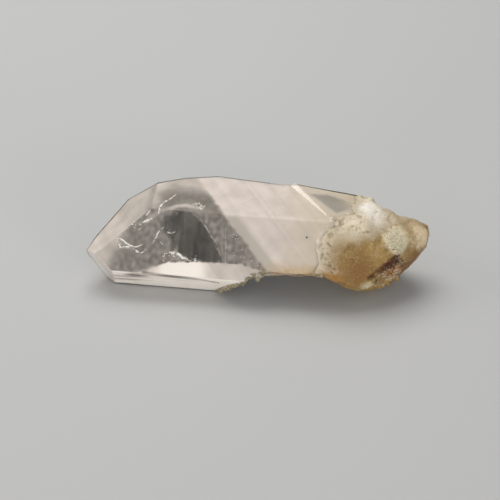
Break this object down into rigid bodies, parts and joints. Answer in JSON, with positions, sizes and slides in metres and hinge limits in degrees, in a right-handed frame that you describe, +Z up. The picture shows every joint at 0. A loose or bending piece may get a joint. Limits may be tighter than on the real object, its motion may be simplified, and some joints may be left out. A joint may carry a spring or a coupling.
{
  "type": "quartz point",
  "caption": "Natural quartz crystal lying on its side: clear pointed end, milky shaft with a younger layer, arched waist and a broken, iron-stained root.",
  "frame": {"origin": "middle of the footprint of the crystal's bounding box, on the surface that it lies on", "axes": "+Z up, +X along the crystal from its point to its broken root, the large front prism face towards -Y"},
  "size_m": [0.0934, 0.0298, 0.0245],
  "materials": {
    "quartz": "glassy faces, clear at the tip, milky along the shaft, tan and rough at the root"
  },
  "bodies": {
    "root": {"quartz_point": "quartz"}
  },
  "joints": []
}
